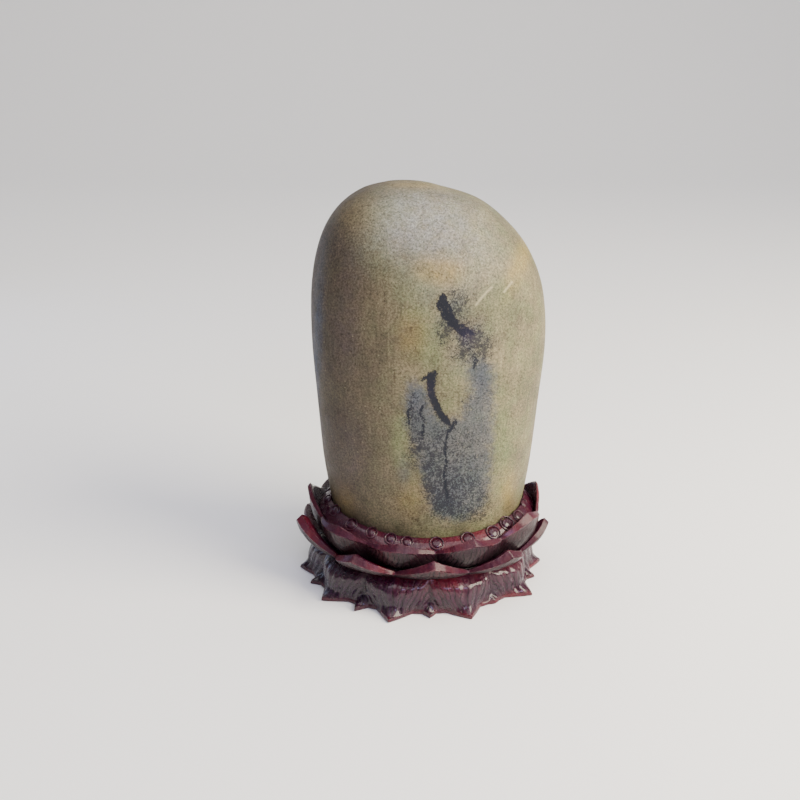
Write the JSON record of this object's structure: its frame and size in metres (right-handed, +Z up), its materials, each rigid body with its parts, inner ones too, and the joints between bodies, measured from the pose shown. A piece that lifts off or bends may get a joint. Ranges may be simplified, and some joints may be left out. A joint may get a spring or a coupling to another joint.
{
  "type": "picture stone on a lotus stand",
  "caption": "Tall river stone with a rounded, sloping top and natural ink-like markings, standing in the seed pod of a carved lotus stand.",
  "frame": {"origin": "on the ground, under the middle of the stand, on its flat underside", "axes": "+Z up along the standing stone, -Y towards the marked front face, +X to the right seen from the front"},
  "size_m": [0.1661, 0.145, 0.2602],
  "materials": {
    "river_stone": "fine-grained olive-grey river stone, worn smooth and matte, with dark blue-grey natural markings on its front",
    "rosewood": "dark red-brown lacquered rosewood, glossy, with dusty grey outer petal faces and worn edges"
  },
  "bodies": {
    "root": {"stone": "river_stone", "lotus_stand": "rosewood"}
  },
  "joints": []
}
